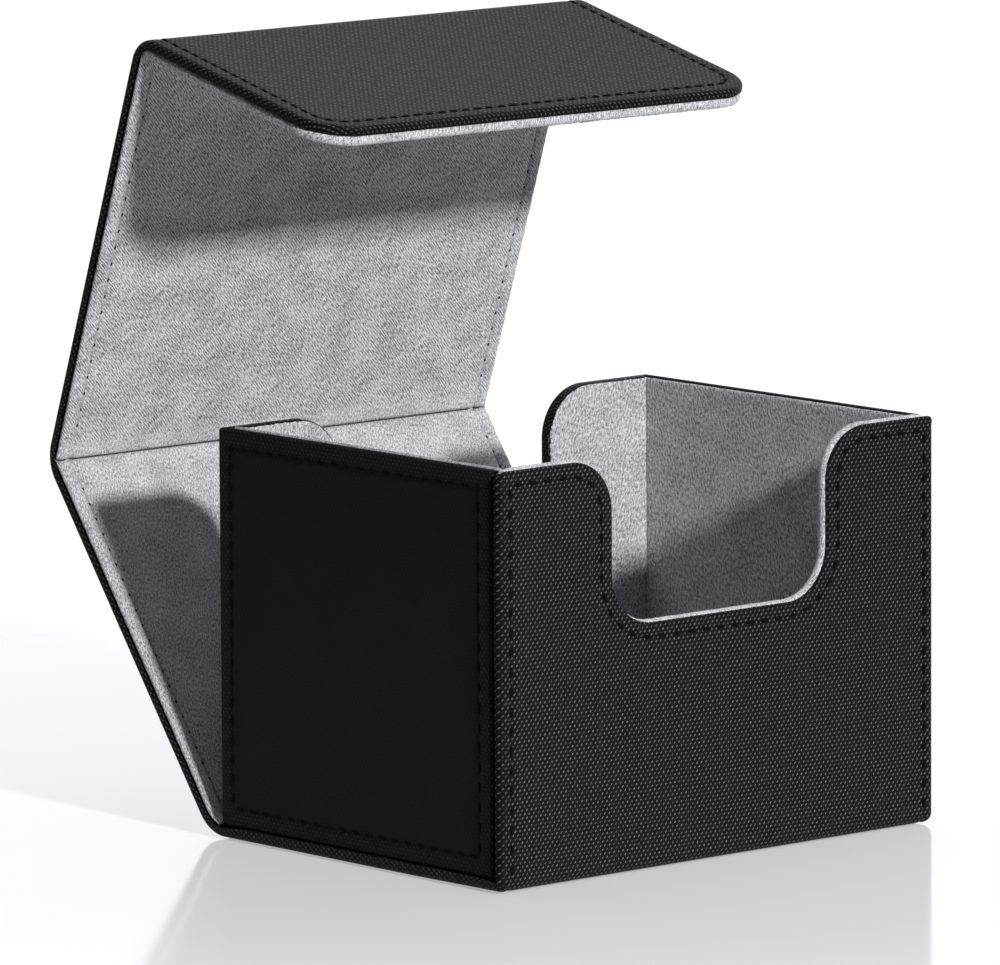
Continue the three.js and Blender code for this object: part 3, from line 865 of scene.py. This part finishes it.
LEATHER_OUT = COVER_RIM - (0, PANEL_OUT)
PAD = pad_profile(COVER_SEAM, PANEL_IN, PAD_FROM, 0.4)
FLAP_PAD = pad_profile(COVER_SEAM, FLAP_PAD_IN, PAD_FROM, 0.1)
THIN = pad_profile(COVER_SEAM, 2.3, PAD_FROM, 0.6)
PAD_FUZZ = (0.13, 5, 12)

CREASE_BEND, LID_BEND = TOP_DIR - BACK_DIR, FLAP_DIR - TOP_DIR
BACK_SPAN = (REAR_MARGIN + RUN_IN, BACK_LENGTH - CREASE_MARGIN - RUN_IN)
TOP_SPAN = (CREASE_MARGIN + RUN_IN, TOP_LENGTH - LID_MARGIN - RUN_IN)
FLAP_START = LID_MARGIN + RUN_IN
BENDS = {
    "rear_fold": (REAR, 0.0, REAR_MARGIN, BACK_DIR, "tray", "back_panel"),
    "crease": (CREASE, BACK_DIR, CREASE_MARGIN, CREASE_BEND, "back_panel", "top_panel"),
    "lid_fold": (LID, TOP_DIR, LID_MARGIN, LID_BEND, "top_panel", "front_flap"),
}


def bend_of(name):
    line, angle, margin, turn, first, second = BENDS[name]
    start = line - margin * np.array([math.cos(angle), math.sin(angle)])
    end = line + margin * np.array([math.cos(angle + turn), math.sin(angle + turn)])
    return first, second, (0, *(start * MM)), (0, *(end * MM))


def leather_strip(name, stations, **where):
    strip = loft(name, stations, lambda j: LEATHER_OUT, HALF, LEATHER_MAT, LEATHER_EMBOSS)
    settle(strip, "leather", **where)


def lining_strip(name, stations, profile_at=lambda j: PAD, material=LINING_MAT, **where):
    strip = loft(name, stations, profile_at, HALF, material, [0.0] * len(PAD), PAD_FUZZ, flip=True)
    settle(strip, "lining", **where)


rear = bent(REAR, 0.0, 0.0, REAR_MARGIN, BACK_DIR, REAR_MARGIN, 0.0)
rear += level(REAR, BACK_DIR, REAR_MARGIN, REAR_MARGIN + RUN_IN, rear[-1][3])[1:]
leather_strip("rear_fold", rear, blend=bend_of("rear_fold"), replaces=["rear_fold_leather"])
back = level(REAR, BACK_DIR, *BACK_SPAN, rear[-1][3])
leather_strip("back_panel", back, body="back_panel", replaces=["back_panel_leather"])
crease = bent(REAR, BACK_DIR, BACK_LENGTH, CREASE_MARGIN, CREASE_BEND, TOP_SPAN[0], back[-1][3])
leather_strip("crease", crease, blend=bend_of("crease"), replaces=["crease_leather"])
top = level(CREASE, TOP_DIR, *TOP_SPAN, crease[-1][3])
leather_strip("top_panel", top, body="top_panel", replaces=["top_panel_leather"])
lid = bent(CREASE, TOP_DIR, TOP_LENGTH, LID_MARGIN, LID_BEND, FLAP_START, top[-1][3])
leather_strip("lid_fold", lid, blend=bend_of("lid_fold"), replaces=["lid_fold_leather"])

FLAP_OUTLINE = [(-HALF, FLAP_START, 0), (-HALF, FLAP_LENGTH, FLAP_CORNER),
                (HALF, FLAP_LENGTH, FLAP_CORNER), (HALF, FLAP_START, 0)]


def flap_place(x, s, n):
    """x across, s along the flap from the lid's fold line, n towards its lined side."""
    c, q = math.cos(FLAP_DIR), math.sin(FLAP_DIR)
    return np.stack([x, LID[0] + s * c - n * q, LID[1] + s * q + n * c], 1)


def shift_uvs(obj, distance):
    """Moves a piece's uvs along, so that its dashes carry on from the fold's."""
    layer = obj.data.uv_layers["UVMap"]
    values = np.zeros(len(layer.data) * 2, np.float32)
    layer.data.foreach_get("uv", values)
    values[1::2] += distance
    layer.data.foreach_set("uv", values)


flap = plate("flap", FLAP_OUTLINE, False, LEATHER_OUT, flap_place, LEATHER_MAT)
settle(flap, "leather", "front_flap", replaces=["flap_leather"])
shift_uvs(flap, lid[-1][3] - FLAP_START)

# The lining: a strip round the rear fold, then pads that meet in a sharp crease and lid fold.
CREASE_INNER, LID_INNER = 0.35, 1.2       # radius of the pads' face round each fold
CREASE_TIGHT = (PANEL_IN + CREASE_INNER) * math.tan(CREASE_BEND / 2)
LID_TIGHT = (PANEL_IN + LID_INNER) * math.tan(LID_BEND / 2)
REAR_FROM = math.radians(15)      # the strip starts this far round the rear fold


def rear_profile(j):
    """The pad's rim, growing to its full thickness round the rear fold."""
    share = min(1.0, j / 13) ** 2
    return THIN * (1 - share) + PAD * share


def creased(j):
    """The pad's rim at the crease, pressed in to a thin line on the crease itself."""
    middle = (len(crease_in) - 1) / 2
    press = math.exp(-((j - middle) / 4.2) ** 2)
    return PAD - np.outer(PAD[:, 1] > 2.2, (0, 1.85 * press))


def flap_pad_weight(line):
    """0 where the pad leaves the lid fold, 1 from a little way along."""
    return np.clip((line[:, 1] - FLAP_START) / 6, 0, 1)


rear_in = bent(REAR, 0.0, 0.0, REAR_MARGIN, BACK_DIR, REAR_MARGIN, 0.0, REAR_FROM)
rear_in += level(REAR, BACK_DIR, REAR_MARGIN, REAR_MARGIN + RUN_IN, rear_in[-1][3])[1:]
lining_strip("rear_fold_lining_strip", rear_in, rear_profile, blend=bend_of("rear_fold"),
             replaces=["rear_fold_lining"])
back_in = level(REAR, BACK_DIR, *BACK_SPAN, rear_in[-1][3])
lining_strip("back_panel_pad", back_in, body="back_panel", replaces=["back_panel_lining"])
crease_in = bent(REAR, BACK_DIR, BACK_LENGTH, CREASE_TIGHT, CREASE_BEND, TOP_SPAN[0], back_in[-1][3])
lining_strip("crease_lining_fold", crease_in, creased, blend=bend_of("crease"),
             replaces=["crease_lining"])
top_in = level(CREASE, TOP_DIR, *TOP_SPAN, crease_in[-1][3])
lining_strip("top_panel_pad", top_in, material=HATCH_MAT, body="top_panel",
             replaces=["top_panel_lining"])
lid_in = bent(CREASE, TOP_DIR, TOP_LENGTH, LID_TIGHT, LID_BEND, FLAP_START, top_in[-1][3])
lining_strip("lid_lining_fold", lid_in, material=HATCH_MAT, blend=bend_of("lid_fold"),
             replaces=["lid_fold_lining"])
flap_pad = plate("flap_pad", FLAP_OUTLINE, False, PAD, flap_place, LINING_MAT, 0.0, FLAP_PAD,
                 flap_pad_weight, fuzzy=(0.2, 5, 12), flip=True)
settle(flap_pad, "lining", "front_flap", replaces=["flap_lining"])


# ---- the cover's seams
SEAM_OUT, SEAM_IN = -PANEL_OUT + SEAM_DEPTH, PANEL_IN - PAD_SEAM_DEPTH
LINING_THREAD = {"pitch": 4.3, "length": 3.6, "radius": 0.32, "sink": 0.05, "slant": 0.05,
                 "material": GREY_THREAD, "holes": True}


def station_line(stations, n, side):
    """A seam line along stations, on one side of the cover, with the outward normals."""
    x = side * (HALF - COVER_SEAM)
    path = [(x, y - n * math.sin(a), z + n * math.cos(a)) for y, z, a, _ in stations]
    up = [(0.0, math.sin(a), -math.cos(a)) for _, _, a, _ in stations]
    return np.array(path), np.array(up)


for name, stations in (("rear_fold", rear), ("back_panel", back), ("crease", crease),
                       ("top_panel", top), ("lid_fold", lid)):
    where = {"blend": bend_of(name)} if name in BENDS else {"body": name}
    sew(f"{name}_stitches", [station_line(stations, SEAM_OUT, side) for side in (-1, 1)], "leather",
        pitch=4.2, length=3.1, **where)

for name, stations in (
        ("back_panel", level(REAR, BACK_DIR, REAR_MARGIN + 3, BACK_LENGTH - 5.6, 0.0)),
        ("top_panel", level(CREASE, TOP_DIR, 6.2, TOP_LENGTH - 6.6, 0.0))):
    lines = [station_line(stations, SEAM_IN, side) for side in (-1, 1)]
    sew(f"{name}_lining_stitches", [(path, -up) for path, up in lines], "lining", name,
        **LINING_THREAD)

flap_seam = offset_line(FLAP_OUTLINE, False, COVER_SEAM)
flap_seam = flap_seam[flap_seam[:, 1] > FLAP_START - 0.1]
flap_up = np.array([0.0, math.sin(FLAP_DIR), -math.cos(FLAP_DIR)])
sew("flap_stitches", [on_face(flap_seam, flap_place, SEAM_OUT, flap_up)], "leather", "front_flap",
    pitch=3.8, length=2.9)
flap_in = SEAM_IN + (FLAP_PAD_IN - PANEL_IN) * flap_pad_weight(flap_seam)
sew("flap_lining_stitches", [on_face(flap_seam, flap_place, flap_in, -flap_up)], "lining",
    "front_flap", **LINING_THREAD)


# ---------------------------------------------------------------- stage, light and camera
def light(name, location, target, size, power):
    """A square area light that faces target."""
    data = bpy.data.lights.new(name, "AREA")
    data.shape = "RECTANGLE"
    data.size, data.size_y = size, size
    data.energy = power
    obj = bpy.data.objects.new(name, data)
    bpy.context.scene.collection.objects.link(obj)
    obj.location = location
    obj.rotation_mode = "QUATERNION"
    obj.rotation_quaternion = (target - location).to_track_quat("-Z", "Y")


def pale_floor():
    """A pale, slightly glossy floor that fades into the white surroundings away from the box."""
    mesh = bpy.data.meshes.new("floor")
    reach = 3.0
    corners = [(-reach, -reach, 0), (reach, -reach, 0), (reach, reach, 0), (-reach, reach, 0)]
    mesh.from_pydata(corners, [], [(0, 1, 2, 3)])
    obj = bpy.data.objects.new("floor", mesh)
    obj.location.z = -0.0004      # just below the box's underside
    bpy.context.scene.collection.objects.link(obj)
    g = Graph("floor")
    where = g.nodes.new("ShaderNodeTexCoord").outputs["Object"]
    away = g.nodes.new("ShaderNodeVectorMath")
    away.operation = "LENGTH"
    g.links.new(where, away.inputs[0])
    mesh.materials.append(g.finish((0.42, 0.42, 0.425, 1), 0.10, Specular_IOR_Level=0.2,
                                   Emission_Color=(0.985, 0.98, 1.0, 1), Emission_Strength=0.40))
    clear = g.nodes.new("ShaderNodeBsdfTransparent")
    fade = g.nodes.new("ShaderNodeMixShader")
    g.links.new(g.spread(away.outputs["Value"], 0.15, 0.75), fade.inputs[0])
    g.links.new(g.shader.outputs[0], fade.inputs[1])
    g.links.new(clear.outputs[0], fade.inputs[2])
    g.links.new(fade.outputs[0], g.nodes["Material Output"].inputs["Surface"])


def studio():
    """White to the camera; as light, dim in front and on the left, brighter behind and above."""
    world = bpy.data.worlds.new("studio")
    bpy.context.scene.world = world
    world.use_nodes = True
    tree = world.node_tree
    make, link = tree.nodes.new, tree.links.new
    way = make("ShaderNodeVectorMath")
    way.operation = "DOT_PRODUCT"
    link(make("ShaderNodeTexCoord").outputs["Generated"], way.inputs[0])
    way.inputs[1].default_value = (0.65, 0.59, 0.48)
    glow = make("ShaderNodeMapRange")
    glow.interpolation_type = "SMOOTHSTEP"
    link(way.outputs["Value"], glow.inputs["Value"])
    for key, number in (("From Min", 0.1), ("From Max", 0.92), ("To Min", 0.018), ("To Max", 1.2)):
        glow.inputs[key].default_value = number
    background = tree.nodes["Background"]
    background.inputs["Color"].default_value = (0.93, 0.95, 1.0, 1)
    link(glow.outputs[0], background.inputs["Strength"])
    white = make("ShaderNodeBackground")
    white.inputs["Color"].default_value = (1, 1, 1, 1)
    white.inputs["Strength"].default_value = 1.05
    choose = make("ShaderNodeMixShader")
    link(make("ShaderNodeLightPath").outputs["Is Camera Ray"], choose.inputs[0])
    link(background.outputs[0], choose.inputs[1])
    link(white.outputs[0], choose.inputs[2])
    link(choose.outputs[0], tree.nodes["World Output"].inputs["Surface"])


pale_floor()
studio()
aim = Vector((0, 0.02, 0.09))
key_from = Vector((-0.11, -1.0, 0.455)).normalized()
light("key", aim + key_from * 1.8, aim, 0.14, 34.0)

AZIMUTH, ELEVATION, ROLL = math.radians(41.23), math.radians(8.36), math.radians(-0.32)
DISTANCE, SIDE_SHIFT, AIM_HEIGHT = 2.552, -0.01855, 0.08563
SCALE, IMAGE_WIDTH = 4.1204, 1000     # pixels for each mm at the target, and across the image
camera_data = bpy.data.cameras.new("camera")
camera = bpy.data.objects.new("camera", camera_data)
bpy.context.scene.collection.objects.link(camera)
bpy.context.scene.camera = camera
to_camera = Vector((-math.sin(AZIMUTH) * math.cos(ELEVATION), -math.cos(AZIMUTH) * math.cos(ELEVATION),
                    math.sin(ELEVATION)))
target = Vector((SIDE_SHIFT * math.cos(AZIMUTH), -SIDE_SHIFT * math.sin(AZIMUTH), AIM_HEIGHT))
camera.location = target + to_camera * DISTANCE
camera.rotation_mode = "QUATERNION"
camera.rotation_quaternion = (-to_camera).to_track_quat("-Z", "Y")
camera.rotation_quaternion = camera.rotation_quaternion @ Matrix.Rotation(ROLL, 3, "Z").to_quaternion()
camera_data.sensor_width = 36.0
camera_data.lens = SCALE * DISTANCE / MM / IMAGE_WIDTH * camera_data.sensor_width
camera_data.clip_start, camera_data.clip_end = 0.05, 60
bpy.context.scene.view_settings.view_transform = "Standard"
